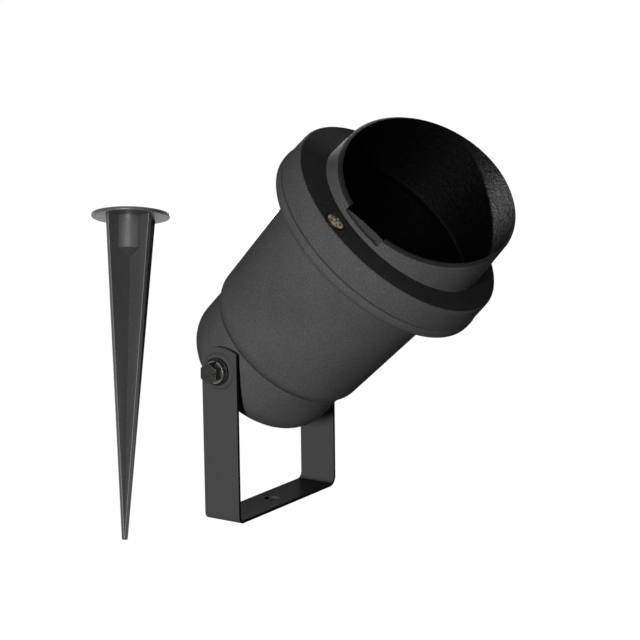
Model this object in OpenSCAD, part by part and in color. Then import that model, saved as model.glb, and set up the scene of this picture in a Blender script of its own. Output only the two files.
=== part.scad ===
// Landscape spotlight: a cast lamp head in a strip steel yoke, with a four-ribbed ground stake.
// Millimetres, +Z up. The origin is the centre of the yoke's mounting hole, on its underside.
// The head tilts about an axis along X and faces -Y.

/* [Yoke] */
// Width of the steel strip
strip_w = 25.4; // [22:0.2:28]
// Thickness of the steel strip
strip_t = 1.9; // [1.5:0.1:2.5]
// Room between the rear cover and each leg
yoke_room = 2.5; // [2.4:0.1:5]
// Height of the pivot above the yoke's underside
pivot_h = 93; // [86:1:110]
// How far a leg reaches above the pivot
leg_over = 14.2; // [12.5:0.2:18]
// Inside radius of the two bends
bend_r = 4; // [1:0.5:6]
// Hole for the mounting bolt
yoke_hole_d = 10; // [8:0.5:12]
// Outside diameter of the pressed pad round each pivot
pad_d = 20.4; // [19.8:0.2:22]
// How far the pressed pads stand out from the legs
pad_h = 1.8; // [1.4:0.1:2.2]

/* [Pivot hardware] */
// Diameter of the pivot bolts
pivot_d = 6.3; // [5:0.1:7]
// Width across the flats of the bolt heads
hex_af = 11.1; // [10:0.1:12]
// Height of the bolt heads
hex_h = 5.2; // [4:0.2:6]
// Length of each bolt under its head
pivot_len = 21; // [18:1:22]
// Diameter of the flat washers
washer_d = 17; // [15:0.5:18]
// Thickness of the flat washers
washer_t = 1.5; // [1:0.1:2]
// Diameter of the split lock washers
lock_d = 12.2; // [11:0.2:13]
// Thickness of the split lock washers
lock_t = 2.2; // [1.6:0.1:2.6]
// Thickness of the friction washers between head and yoke
friction_t = 1.5; // [1:0.1:1.9]

/* [Lamp head] */
// Angle of the lamp axis above the horizontal at rest
rest_tilt = 44.5; // [30:0.5:50]
// Length of the front shell, from the rear seam to its flange face
shell_len = 96.7; // [88:0.1:104]
// Outside diameter of the front shell behind the flange
can_d = 111.4; // [96:0.2:136]
// How much narrower the front shell is at its rear shoulder
can_taper = 7; // [2:0.5:10]
// Distance from the pivot forward to the rear seam
seam_ahead = 17.5; // [16:0.5:20]
// Height of the rounded shoulder next to the rear seam
shoulder_h = 8; // [7:0.5:12]
// Wall of both castings
wall_t = 3; // [2.4:0.1:3.4]
// Step in from the front shell's shoulder to the rear cover
cover_step = 3.6; // [3:0.1:6]
// Distance from the pivot back to the end of the rear cover
cover_back = 23.7; // [22:0.1:26]
// Outside radius of the rear cover's rounded end
cover_r = 20.8; // [18:0.2:22]
// Diameter of the cable inlet in the rear cover
inlet_d = 11; // [9:0.5:12]

/* [Front] */
// How far the front shell's flange reaches beyond the bezel ring
flange_lip = 1.3; // [0.4:0.1:3]
// Thickness of the flange
flange_t = 7.2; // [6:0.2:8]
// Wall of the bezel ring round the lens
bezel_wall = 10.4; // [9.4:0.1:13]
// Length of the bezel ring's side
bezel_len = 15.5; // [14:0.5:18]
// Rise of the bezel's face from its edge to the hood
crown_h = 2.5; // [1.5:0.1:3]
// Rounding of the bezel's outer edges
bezel_edge_r = 1; // [0.6:0.1:1.4]
// Thickness of the gasket between flange and bezel
seal_t = 1; // [0.8:0.1:1.4]
// How far the glass lens reaches outside the front shell
lens_lap = 4.6; // [4:0.1:7]
// Thickness of the glass lens
lens_t = 4; // [3:0.5:5]
// Height of the ring on the flange that carries the lens
spigot_h = 3.4; // [2.6:0.2:4]
// Thickness of each of the two lens gaskets
pad_t = 1.2; // [1:0.1:1.4]
// Diameter of the bezel screws
screw_d = 4.6; // [4:0.1:4.7]
// Turn of the bezel, its screws and the hood about the lamp axis
bezel_turn = -4; // [-10:0.5:10]

/* [Hood] */
// How far the lens reaches outside the hood
hood_lap = 4.1; // [4:0.1:8]
// Narrowing of the hood's wall, degrees
hood_draft = 4.6; // [3:0.2:7]
// Wall of the hood at its foot
hood_t = 2.8; // [2.4:0.2:3.2]
// Wall of the hood at its rim
rim_t = 1.6; // [1.2:0.1:2.2]
// Length of the hood on its axis, from the bezel's outer edge to the slanted rim
hood_len = 26.9; // [24:0.1:32]
// Slant of the rim, degrees
hood_slant = 18; // [10:1:18]
// How far the hood sits below the lamp axis
hood_drop = 2.2; // [0:0.1:2.6]
// How far the hood sits to the side of the lamp axis
hood_side = 0.5; // [0:0.1:1]
// Height of the notch floor above the bezel's outer edge
notch_floor = 5; // [4.5:0.5:7.5]
// Angle that the notch spans
notch_span = 28.5; // [20:0.5:36]

/* [Lamp holder] */
// Outside diameter of the porcelain body
holder_d = 34; // [33:0.5:38]
// Height of the porcelain body above its foot
holder_h = 34; // [30:1:38]
// Outside diameter of the screw shell
thread_shell_d = 27.6; // [27:0.2:28]

/* [Ground stake] */
// Length of the stake from its tip to the top of the disc
stake_len = 193.8; // [170:0.2:230]
// Diameter of the disc
disc_d = 46.9; // [44:0.1:52]
// Thickness of the disc
disc_t = 2.2; // [1.6:0.1:3]
// Reach of a rib from the stake's axis, just below the disc
rib_reach = 18.2; // [17:0.1:21]
// Thickness of the ribs
rib_t = 2.4; // [1.6:0.1:3]
// Diameter of the boss round the threaded socket
boss_d = 20.4; // [16:0.2:24]
// Length of the boss
boss_len = 19.5; // [18:0.5:26]
// Diameter of the threaded socket, at its wall
socket_d = 8.2; // [7.6:0.1:9.4]

/* [Hidden] */

$fn = 96;
// Overrun of every cut
over = 2;
// Play of a bolt in the hole it turns in, and of a thread in its tapped hole
pin_play = 0.08;
thread_play = 0.05;
// Play between faces that slide on each other
face_play = 0.15;
// Play round a piece that drops into a recess
seat_play = 0.4;
// Play of a screw in a clearance hole
hole_play = 0.3;

// Colours
coat = [0.28, 0.28, 0.28];
coat_dark = [0.16, 0.16, 0.16];
steel = [0.72, 0.72, 0.70];
rubber_black = [0.10, 0.10, 0.10];
clear_glass = [0.75, 0.82, 0.84, 0.35];
porcelain = [0.93, 0.92, 0.88];
brass = [0.80, 0.64, 0.32];
green = [0.15, 0.50, 0.25];
stake_black = [0.22, 0.22, 0.22];

// Diameters that follow the front shell
shell_front_r = can_d / 2;
shell_rear_r = (can_d - can_taper) / 2;
cover_out_r = shell_rear_r - cover_step;
yoke_gap = 2 * (cover_out_r + yoke_room);
lens_r = shell_front_r + lens_lap;
hood_r = lens_r - hood_lap;

// Yoke
bend_out_r = bend_r + strip_t;
leg_out_x = yoke_gap / 2 + strip_t;
leg_top_r = strip_w;
pad_round = 1;

// Pivot stack, outward along X from the pad's outer face
pad_floor_x = yoke_gap / 2 + pad_h;
pad_face_x = pad_floor_x + strip_t;
washer_x = pad_face_x + face_play;
lock_x = washer_x + washer_t;
hex_x = lock_x + lock_t;
hex_chamfer = 0.8;
lock_gap = 1.2;
pad_bore_d = pad_d - 2 * strip_t;
boss_face_x = pad_floor_x - face_play - friction_t;
pivot_boss_d = pad_bore_d - 3 * seat_play;
pivot_boss_in = 9.5;

// Places along the lamp axis, measured from the pivot
s_seam = seam_ahead;
s_flange = s_seam + shell_len;
s_flange_back = s_flange - flange_t;
s_bezel = s_flange + seal_t;
s_edge = s_bezel + bezel_len;
s_hood_root = s_edge + crown_h;
s_spigot = s_flange + spigot_h;
s_lens = s_spigot + pad_t;
s_lens_pad = s_lens + lens_t;
s_hood_foot = s_lens_pad + pad_t;
hood_foot_t = 2.4;
s_plate = s_hood_foot + hood_foot_t;
s_hood_mid = s_edge + hood_len;

// Front shell
seam_t = 0.8;
neck_r = 8;
bead_r = flange_t / 2;
shoulder_r = (shoulder_h * shoulder_h + cover_step * cover_step) / (2 * cover_step);
shoulder_turn = asin(shoulder_h / shoulder_r);
rear_floor_t = 4;
spigot_wall = 6;
spigot_out_r = lens_r + seat_play;
spigot_in_r = spigot_out_r - spigot_wall;
rear_screw_d = 4;
rear_screw_len = 14;
rear_screw_angles = [90, 210, 330];
rear_boss_d = 10;
rear_screw_ring_r = cover_out_r - wall_t - rear_boss_d / 2 + wall_t / 4;
rear_opening_r = rear_screw_ring_r - rear_boss_d / 2 - wall_t / 3;
rear_boss_len = 14;

// Rear cover
s_cover = s_seam - seam_t;
cover_in_r = cover_out_r - wall_t;
cover_arc_s = cover_r - cover_back;
cover_arc_r = cover_out_r - cover_r;
s_cover_floor = wall_t - cover_back;
gasket_inset = 0.8;

// Screw heads
pan_head_d = 11;
pan_head_h = 3.4;
pan_seat_d = 11.7;
pan_seat_depth = 3.6;
small_head_d = 7.4;
small_head_h = 2.4;
slot_w = 1.1;
slot_share = 0.55;
pan_round_share = 0.45;
bezel_thread_len = 6;

// Bezel ring
bezel_in_r = spigot_out_r + seat_play;
bezel_r = bezel_in_r + bezel_wall;
flange_r = bezel_r + flange_lip;
screw_place_share = 1 / 3;
screw_ring_r = bezel_in_r + bezel_wall * screw_place_share;
s_screw_seat = s_edge - pan_seat_depth;

// Hood
hood_foot_r = lens_r;
hood_max = s_hood_mid + (hood_r + hood_drop) * tan(hood_slant) + over;
notch_turn = 7.5;
function hood_r_at(s) = hood_r - (s - s_hood_root) * tan(hood_draft);

// Lamp holder
bracket_w = 24;
bracket_t = 1.6;
bracket_post_len = 9.6;
bracket_post_d = 8;
s_bracket = s_cover_floor + bracket_post_len;
s_holder = s_bracket + bracket_t;
holder_foot_t = 5;
small_screw_d = 3;
holder_head_d = 4.8;
holder_screw_reach = (holder_d + holder_head_d) / 2 + seat_play;
holder_foot_r = holder_screw_reach + holder_head_d / 2 + seat_play;
bracket_screw_reach = holder_foot_r + small_head_d / 2 + seat_play;
bracket_reach = bracket_screw_reach + small_head_d / 2 + seat_play;
post_screw_d = 4;
post_screw_len = 9;
shell_wall = 0.6;
holder_floor = 9;
s_shell = s_holder + holder_floor;
shell_depth = holder_h - holder_floor + holder_foot_t - 3 * seat_play;
shell_lip_r = 8;
contact_d = 9;
contact_dome_h = 2.4;
contact_t = 0.8;
wire_hole_d = 12;
thread_pitch = 3.63;
thread_depth = 0.5;

// Cable grommet and ground screw
grommet_lip = 2.6;
grommet_lip_t = 2;
grommet_bore_d = 6.4;
ground_post = [19, -9];
ground_post_d = 7;
ground_post_len = 5;
ground_screw_len = 7;
ground_head_af = 6.4;
ground_head_h = 2.6;
ground_screw_d = 3.6;

// Ground stake, as it stands beside the lamp
stake_foot = [-113.8, 25.6];
stake_lean = 18.4;
stake_heading = 31;
stake_turn = 48;
tip_r = 1.5;
tip_reach_share = 0.8;
stake_lift = rib_t / 2 * sin(stake_lean);
disc_edge_r = 0.5;
socket_len = 16;
boss_cone = 5.2;

// Points of an arc about a centre, from one angle to another
function arc(centre, r, from, to, steps = 10) =
    [for (i = [0:steps]) centre + r * [cos(from + (to - from) * i / steps),
        sin(from + (to - from) * i / steps)]];

// The lamp head's own frame: Z along the lamp axis, Y toward the sky side
module on_head() {
    translate([0, 0, pivot_h]) rotate([90 - rest_tilt, 0, 0]) children();
}

// The same piece on the left and on the right leg
module both_sides() {
    for (side = [0, 1]) mirror([side, 0, 0]) children();
}

module on_bezel() {
    on_head() rotate([0, 0, bezel_turn]) children();
}

// Round pan head with a cross recess, seated at z = 0, with its shank below
module pan_screw(head_d, head_h, shank_d, shank_len, arms = 2) {
    round_h = head_h * pan_round_share;
    difference() {
        union() {
            rotate_extrude()
                polygon(concat([[0, 0], [head_d / 2, 0], [head_d / 2, head_h - round_h]],
                    [for (a = [15:15:90]) [head_d / 2 - round_h * (1 - cos(a)),
                        head_h - round_h + round_h * sin(a)]], [[0, head_h]]));
            translate([0, 0, -shank_len]) cylinder(d = shank_d, h = shank_len + head_h / 2);
        }
        for (i = [1:arms])
            rotate([0, 0, 180 / arms * i])
                translate([-head_d * slot_share / 2, -slot_w / 2, head_h * slot_share])
                    cube([head_d * slot_share, slot_w, head_h]);
    }
}

// Yoke
module yoke_strip() {
    leg_top = pivot_h + leg_over;
    out_c = leg_out_x - bend_out_r;
    rotate([90, 0, 0])
        translate([0, 0, -strip_w / 2])
            linear_extrude(strip_w)
                polygon(concat(
                    [[-leg_out_x, leg_top]],
                    arc([-out_c, bend_out_r], bend_out_r, 180, 270),
                    arc([out_c, bend_out_r], bend_out_r, 270, 360),
                    [[leg_out_x, leg_top], [yoke_gap / 2, leg_top]],
                    arc([out_c, bend_out_r], bend_r, 360, 270),
                    arc([-out_c, bend_out_r], bend_r, 270, 180),
                    [[-yoke_gap / 2, leg_top]]));
}

module pivot_pad() {
    translate([yoke_gap / 2, 0, pivot_h])
        rotate([0, 90, 0])
            rotate_extrude()
                polygon(concat([[0, 0], [pad_d / 2, 0]],
                    arc([pad_d / 2 - pad_round, pad_h + strip_t - pad_round], pad_round, 0, 90, 5),
                    [[0, pad_h + strip_t]]));
}

module yoke() {
    crown_z = pivot_h + leg_over - leg_top_r;
    color(coat) difference() {
        union() {
            intersection() {
                yoke_strip();
                union() {
                    translate([-leg_out_x - over, 0, crown_z])
                        rotate([0, 90, 0])
                            cylinder(r = leg_top_r, h = 2 * (leg_out_x + over));
                    translate([-leg_out_x - over, -strip_w, -over])
                        cube([2 * (leg_out_x + over), 2 * strip_w, crown_z + over]);
                }
            }
            both_sides() pivot_pad();
        }
        both_sides() {
            translate([yoke_gap / 2 - over, 0, pivot_h])
                rotate([0, 90, 0]) cylinder(d = pad_bore_d, h = pad_h + over);
            translate([yoke_gap / 2, 0, pivot_h])
                rotate([0, 90, 0]) cylinder(d = pivot_d + 2 * pin_play, h = pad_h + strip_t + over);
        }
        translate([0, 0, -over]) cylinder(d = yoke_hole_d, h = strip_t + 2 * over);
    }
}

// Pivot hardware, which turns with the head
module pivot_bolt() {
    corner_r = hex_af / 2 / cos(30);
    translate([hex_x, 0, 0]) rotate([0, 90, 0]) {
        intersection() {
            cylinder(r = corner_r, h = hex_h, $fn = 6);
            rotate_extrude()
                polygon([[0, 0], [corner_r, 0], [corner_r, hex_h - hex_chamfer],
                    [hex_af / 2, hex_h], [0, hex_h]]);
        }
        translate([0, 0, -pivot_len]) cylinder(d = pivot_d, h = pivot_len + hex_h / 2);
    }
}

module pivot_bolts() {
    color(steel) on_head() both_sides() pivot_bolt();
}

module lock_washers() {
    color(steel) on_head() both_sides()
        translate([lock_x, 0, 0]) rotate([0, 90, 0])
            difference() {
                cylinder(d = lock_d, h = lock_t);
                translate([0, 0, -over]) cylinder(d = pivot_d + 2 * hole_play, h = lock_t + 2 * over);
                rotate([0, 0, 45]) translate([0, -lock_gap / 2, -over])
                    cube([lock_d, lock_gap, lock_t + 2 * over]);
            }
}

module flat_washers() {
    color(steel) on_head() both_sides()
        translate([washer_x, 0, 0]) rotate([0, 90, 0])
            difference() {
                cylinder(d = washer_d, h = washer_t);
                translate([0, 0, -over])
                    cylinder(d = pivot_d + 2 * hole_play, h = washer_t + 2 * over);
            }
}

module friction_washers() {
    color(rubber_black) on_head() both_sides()
        translate([boss_face_x, 0, 0]) rotate([0, 90, 0])
            difference() {
                cylinder(d = pivot_boss_d, h = friction_t);
                translate([0, 0, -over])
                    cylinder(d = pivot_d + 2 * hole_play, h = friction_t + 2 * over);
            }
}

// Front shell: one revolved casting from the rear shoulder to the rolled flange
module main_housing() {
    arc_c = [shell_rear_r - shoulder_r, s_seam + shoulder_h];
    neck_c = [shell_front_r + neck_r, s_flange_back - neck_r];
    color(coat) on_head() difference() {
        rotate_extrude()
            polygon(concat(
                [[rear_opening_r, s_seam]],
                arc(arc_c, shoulder_r, -shoulder_turn, 0, 8),
                arc(neck_c, neck_r, 180, 90, 6),
                arc([flange_r - bead_r, s_flange - bead_r], bead_r, -90, 90, 10),
                [[spigot_out_r, s_flange], [spigot_out_r, s_spigot], [spigot_in_r, s_spigot],
                    [spigot_in_r, s_flange_back], [shell_front_r - wall_t, s_flange_back - neck_r],
                    [shell_rear_r - wall_t, s_seam + shoulder_h],
                    [cover_in_r, s_seam + rear_floor_t],
                    [rear_opening_r, s_seam + rear_floor_t]]));
        for (a = rear_screw_angles)
            rotate([0, 0, a]) translate([rear_screw_ring_r, 0, s_seam - over])
                cylinder(d = rear_screw_d + 2 * hole_play, h = rear_floor_t + 2 * over);
        rotate([0, 0, bezel_turn]) both_sides()
            translate([screw_ring_r, 0, s_flange - bezel_thread_len])
                cylinder(d = screw_d + 2 * thread_play, h = bezel_thread_len + over);
    }
}

// Rear cover with the pivot bosses, the screw posts and the cable inlet
module rear_cover() {
    color(coat) on_head() difference() {
        union() {
            rotate_extrude()
                polygon(concat(
                    [[cover_in_r, s_cover], [cover_out_r, s_cover]],
                    arc([cover_arc_r, cover_arc_s], cover_r, 0, -90, 12),
                    [[inlet_d / 2, -cover_back], [inlet_d / 2, s_cover_floor]],
                    arc([cover_arc_r, cover_arc_s], cover_r - wall_t, -90, 0, 12)));
            both_sides()
                translate([cover_in_r - pivot_boss_in, 0, 0]) rotate([0, 90, 0])
                    cylinder(d = pivot_boss_d, h = boss_face_x - cover_in_r + pivot_boss_in);
            for (a = rear_screw_angles)
                rotate([0, 0, a]) translate([rear_screw_ring_r, 0, s_cover - rear_boss_len])
                    cylinder(d = rear_boss_d, h = rear_boss_len);
            for (side = [-1, 1])
                translate([0, side * bracket_screw_reach, s_cover_floor - wall_t / 2])
                    cylinder(d = bracket_post_d, h = bracket_post_len + wall_t / 2);
            translate([ground_post.x, ground_post.y, s_cover_floor - wall_t / 2])
                cylinder(d = ground_post_d, h = ground_post_len + wall_t / 2);
        }
        both_sides()
            translate([hex_x - pivot_len - hole_play, 0, 0]) rotate([0, 90, 0])
                cylinder(d = pivot_d + 2 * thread_play, h = pivot_len);
        for (a = rear_screw_angles)
            rotate([0, 0, a]) translate([rear_screw_ring_r, 0, s_cover - rear_boss_len + wall_t])
                cylinder(d = rear_screw_d + 2 * thread_play, h = rear_boss_len);
        for (side = [-1, 1])
            translate([0, side * bracket_screw_reach, s_bracket - post_screw_len])
                cylinder(d = post_screw_d + 2 * thread_play, h = post_screw_len + over);
        translate([ground_post.x, ground_post.y, s_cover_floor + ground_post_len - ground_screw_len])
            cylinder(d = ground_screw_d + 2 * thread_play, h = ground_screw_len + over);
    }
}

module rear_gasket() {
    color(rubber_black) on_head() difference() {
        translate([0, 0, s_cover]) cylinder(r = cover_out_r - gasket_inset, h = seam_t);
        translate([0, 0, s_cover - over]) cylinder(r = rear_opening_r, h = seam_t + 2 * over);
        for (a = rear_screw_angles)
            rotate([0, 0, a]) translate([rear_screw_ring_r, 0, s_cover - over])
                cylinder(d = rear_screw_d + 2 * hole_play, h = seam_t + 2 * over);
    }
}

module rear_cover_screws() {
    color(steel) on_head()
        for (a = rear_screw_angles)
            rotate([0, 0, a]) translate([rear_screw_ring_r, 0, s_seam + rear_floor_t])
                pan_screw(small_head_d, small_head_h, rear_screw_d, rear_screw_len);
}

module cable_grommet() {
    lip_r = inlet_d / 2 + grommet_lip;
    color(rubber_black) on_head() rotate_extrude()
        polygon([[grommet_bore_d / 2, -cover_back - grommet_lip_t],
            [lip_r - grommet_lip_t / 2, -cover_back - grommet_lip_t],
            [lip_r, -cover_back - grommet_lip_t / 2], [lip_r, -cover_back],
            [inlet_d / 2, -cover_back], [inlet_d / 2, s_cover_floor],
            [lip_r, s_cover_floor], [lip_r - grommet_lip_t / 2, s_cover_floor + grommet_lip_t],
            [grommet_bore_d / 2, s_cover_floor + grommet_lip_t]]);
}

// Bezel ring: side wall, crowned face, and the hole that the hood comes through
module bezel_ring() {
    e = bezel_edge_r;
    color(coat) on_bezel() difference() {
        rotate_extrude()
            polygon(concat(
                [[bezel_in_r, s_bezel], [bezel_r - e, s_bezel], [bezel_r, s_bezel + e]],
                arc([bezel_r - e, s_edge - e], e, 0, 90, 6),
                [[hood_r - over - hood_drop, s_hood_root], [hood_r - over - hood_drop, s_plate],
                    [bezel_in_r, s_plate]]));
        translate([hood_side, -hood_drop, s_plate - over])
            cylinder(r = hood_r + seat_play / 2, h = s_hood_root - s_plate + 2 * over);
        both_sides() {
            translate([screw_ring_r, 0, s_bezel - over])
                cylinder(d = screw_d + 2 * hole_play, h = bezel_len + crown_h + over);
            translate([screw_ring_r, 0, s_screw_seat])
                cylinder(d = pan_seat_d, h = pan_seat_depth + crown_h + over);
        }
    }
}

module bezel_gasket() {
    color(rubber_black) on_bezel() difference() {
        translate([0, 0, s_flange]) cylinder(r = bezel_r - bezel_edge_r - gasket_inset, h = seal_t);
        translate([0, 0, s_flange - over])
            cylinder(r = spigot_out_r + seat_play, h = seal_t + 2 * over);
        both_sides()
            translate([screw_ring_r, 0, s_flange - over])
                cylinder(d = screw_d + 2 * hole_play, h = seal_t + 2 * over);
    }
}

module bezel_screws() {
    color(steel) on_bezel() both_sides()
        translate([screw_ring_r, 0, s_screw_seat])
            pan_screw(pan_head_d, pan_head_h, screw_d,
                s_screw_seat - s_flange + bezel_thread_len - hole_play);
}

// Lens and the two gaskets that hold it
module lens() {
    color(clear_glass) on_head()
        translate([0, 0, s_lens]) cylinder(r = lens_r, h = lens_t);
}

module flat_ring(s, out_r, in_r, t) {
    on_head() difference() {
        translate([0, 0, s]) cylinder(r = out_r, h = t);
        translate([0, 0, s - over]) cylinder(r = in_r, h = t + 2 * over);
    }
}

module lens_seat_gasket() {
    color(rubber_black) flat_ring(s_spigot, lens_r, spigot_in_r, pad_t);
}

module lens_gasket() {
    color(rubber_black) flat_ring(s_lens_pad, lens_r, hood_r - hood_t, pad_t);
}

// Glare hood: a drafted tube with a foot behind the bezel, a slanted rim and a notch
module glare_hood() {
    foot_s = s_hood_foot;
    sector_r = hood_r + over;
    color(coat) on_bezel() difference() {
        union() {
            translate([hood_side, -hood_drop, 0]) difference() {
                rotate_extrude()
                    polygon([[hood_r - hood_t, foot_s], [hood_r, foot_s],
                        [hood_r, s_hood_root], [hood_r_at(hood_max), hood_max],
                        [hood_r_at(hood_max) - rim_t, hood_max],
                        [hood_r - hood_t, s_hood_root]]);
                translate([0, 0, s_hood_mid]) rotate([0, -hood_slant, 0])
                    translate([-2 * hood_r, -2 * hood_r, 0]) cube([4 * hood_r, 4 * hood_r, 2 * hood_r]);
                rotate([0, 0, 180 + notch_turn])
                    translate([0, 0, s_edge + notch_floor])
                        linear_extrude(hood_len)
                            polygon([[0, 0],
                                [sector_r, -sector_r * tan(notch_span / 2)],
                                [sector_r, sector_r * tan(notch_span / 2)]]);
            }
            difference() {
                translate([0, 0, foot_s]) cylinder(r = hood_foot_r, h = hood_foot_t);
                translate([hood_side, -hood_drop, foot_s - over])
                    cylinder(r = hood_r - hood_t, h = hood_foot_t + 2 * over);
            }
        }
    }
}

// Lamp holder and what carries it
module socket_bracket() {
    color(steel) on_head() difference() {
        intersection() {
            translate([-bracket_w / 2, -bracket_reach, s_bracket])
                cube([bracket_w, 2 * bracket_reach, bracket_t]);
            translate([0, 0, s_bracket - over])
                cylinder(r = bracket_reach, h = bracket_t + 2 * over);
        }
        translate([0, 0, s_bracket - over]) cylinder(d = wire_hole_d, h = bracket_t + 2 * over);
        for (side = [-1, 1]) {
            translate([0, side * bracket_screw_reach, s_bracket - over])
                cylinder(d = post_screw_d + 2 * hole_play, h = bracket_t + 2 * over);
            translate([0, side * holder_screw_reach, s_bracket - over])
                cylinder(d = small_screw_d + 2 * thread_play, h = bracket_t + 2 * over);
        }
    }
}

module bracket_screws() {
    color(steel) on_head()
        for (side = [-1, 1])
            translate([0, side * bracket_screw_reach, s_holder])
                pan_screw(small_head_d, small_head_h, post_screw_d,
                    post_screw_len);
}

module lampholder() {
    color(porcelain) on_head() difference() {
        union() {
            translate([0, 0, s_holder]) cylinder(r = holder_foot_r, h = holder_foot_t);
            translate([0, 0, s_holder + holder_foot_t]) cylinder(d = holder_d, h = holder_h);
        }
        translate([0, 0, s_shell])
            cylinder(d = thread_shell_d + seat_play, h = holder_h + over);
        translate([0, 0, s_holder - over]) cylinder(d = contact_d / 2, h = holder_floor + 2 * over);
        for (side = [-1, 1])
            translate([0, side * holder_screw_reach, s_holder - over])
                cylinder(d = small_screw_d + 2 * hole_play, h = holder_foot_t + 2 * over);
    }
}

module holder_screws() {
    color(steel) on_head()
        for (side = [-1, 1])
            translate([0, side * holder_screw_reach, s_holder + holder_foot_t])
                pan_screw(holder_head_d, small_head_h, small_screw_d,
                    holder_foot_t + bracket_t);
}

// Rolled screw shell: rounded threads as rings along its length
module screw_shell() {
    shell_r = thread_shell_d / 2;
    turns = floor(shell_depth / thread_pitch);
    color(brass) on_head() translate([0, 0, s_shell])
        rotate_extrude()
            polygon(concat(
                [[shell_lip_r, 0], [shell_r, 0]],
                [for (i = [1:4 * turns]) [shell_r - (i % 2 == 0 ? 0 : thread_depth),
                    i * shell_depth / (4 * turns)]],
                [for (i = [4 * turns:-1:1]) [shell_r - shell_wall - (i % 2 == 0 ? 0 : thread_depth),
                    i * shell_depth / (4 * turns)]],
                [[shell_r - shell_wall, shell_wall], [shell_lip_r, shell_wall]]));
}

module centre_contact() {
    color(brass) on_head() translate([0, 0, s_shell])
        rotate_extrude()
            polygon(concat([[0, 0], [contact_d / 2, 0], [contact_d / 2, contact_t]],
                arc([0, contact_t], contact_dome_h, 0, 90, 8)));
}

module ground_screw() {
    seat_s = s_cover_floor + ground_post_len;
    color(green) on_head() translate([ground_post.x, ground_post.y, seat_s]) {
        cylinder(r = ground_head_af / 2 / cos(30), h = ground_head_h, $fn = 6);
        translate([0, 0, -ground_screw_len + hole_play])
            cylinder(d = ground_screw_d, h = ground_screw_len - hole_play + ground_head_h / 2);
    }
}

// Ground stake: two crossed tapering ribs, a disc and a threaded boss
module stake_rib() {
    tip_reach = tip_r * tip_reach_share;
    rib_top = stake_len - disc_t;
    rotate([90, 0, 0]) translate([0, 0, -rib_t / 2]) linear_extrude(rib_t)
        polygon(concat([[-rib_reach, rib_top], [-tip_reach, tip_r]],
            arc([0, tip_r], tip_r, 180, 360, 8),
            [[tip_reach, tip_r], [rib_reach, rib_top]]));
}

module stake_disc() {
    e = disc_edge_r;
    top = stake_len;
    rotate_extrude()
        polygon(concat([[0, top - disc_t]],
            arc([disc_d / 2 - e, top - disc_t + e], e, -90, 0, 4),
            arc([disc_d / 2 - e, top - e], e, 0, 90, 4),
            [[0, top]]));
}

module ground_stake() {
    boss_foot = stake_len - disc_t - boss_len;
    color(stake_black)
        translate([stake_foot.x, stake_foot.y, stake_lift])
            rotate([0, 0, stake_heading]) rotate([0, stake_lean, 0])
                rotate([0, 0, stake_turn])
                    difference() {
                        union() {
                            for (turn = [0, 90]) rotate([0, 0, turn]) stake_rib();
                            stake_disc();
                            rotate_extrude()
                                polygon([[0, boss_foot - boss_cone], [rib_t / 2, boss_foot - boss_cone],
                                    [boss_d / 2, boss_foot], [boss_d / 2, stake_len - disc_t],
                                    [0, stake_len - disc_t]]);
                        }
                        translate([0, 0, stake_len - socket_len])
                            cylinder(d = socket_d, h = socket_len + over);
                    }
}

yoke();
pivot_bolts();
lock_washers();
flat_washers();
friction_washers();
main_housing();
rear_cover();
rear_gasket();
rear_cover_screws();
cable_grommet();
bezel_ring();
bezel_gasket();
bezel_screws();
lens();
lens_seat_gasket();
lens_gasket();
glare_hood();
socket_bracket();
bracket_screws();
lampholder();
holder_screws();
screw_shell();
centre_contact();
ground_screw();
ground_stake();
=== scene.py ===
import bpy
import bmesh
import math
from mathutils import Matrix, Vector


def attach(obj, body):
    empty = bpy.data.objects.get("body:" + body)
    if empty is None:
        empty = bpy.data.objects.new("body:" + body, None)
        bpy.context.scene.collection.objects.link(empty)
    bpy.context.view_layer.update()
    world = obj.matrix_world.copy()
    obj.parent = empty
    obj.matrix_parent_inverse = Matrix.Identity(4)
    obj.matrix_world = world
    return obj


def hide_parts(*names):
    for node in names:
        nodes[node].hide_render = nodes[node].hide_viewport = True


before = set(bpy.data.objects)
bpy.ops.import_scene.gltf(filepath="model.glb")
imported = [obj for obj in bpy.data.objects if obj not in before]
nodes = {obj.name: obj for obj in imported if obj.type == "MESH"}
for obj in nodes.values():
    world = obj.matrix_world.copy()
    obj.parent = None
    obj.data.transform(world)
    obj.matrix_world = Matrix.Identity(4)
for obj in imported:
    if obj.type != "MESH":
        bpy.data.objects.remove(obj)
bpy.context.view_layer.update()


# Camera
# The photographer stood a little above the lamp and to its left, about 1.1 m away, with a long lens.
# The place and the turn come from a fit to the outlines in the photograph.
def put_in_scene(name, data):
    thing = bpy.data.objects.new(name, data)
    bpy.context.scene.collection.objects.link(thing)
    return thing


camera_place = Vector((-0.8779, -0.6186, 0.3081))
camera_right = Vector((0.5505, -0.8348, -0.0110))
camera_up = Vector((0.1537, 0.0884, 0.9841))
camera_data = bpy.data.cameras.new("camera")
camera_data.sensor_width = 36
camera_data.lens = 99.6
camera_data.clip_end = 50
camera = put_in_scene("camera", camera_data)
camera_back = camera_right.cross(camera_up).normalized()
camera_up = camera_back.cross(camera_right).normalized()
camera.matrix_world = Matrix.Translation(camera_place) @ Matrix(
    (camera_right.normalized(), camera_up, camera_back)).transposed().to_4x4()
bpy.context.scene.camera = camera
bpy.context.scene.view_settings.view_transform = "Standard"


# Floor and surroundings
# A plain white sweep in a dim studio. The camera, metal and glass see it white, with a faint shadow
# of the object, while it throws back only a little light.
def linear(hex_colour):
    parts = [int(hex_colour[i:i + 2], 16) / 255 for i in (1, 3, 5)]
    return tuple(c / 12.92 if c <= 0.04045 else ((c + 0.055) / 1.055) ** 2.4 for c in parts) + (1.0,)


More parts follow.
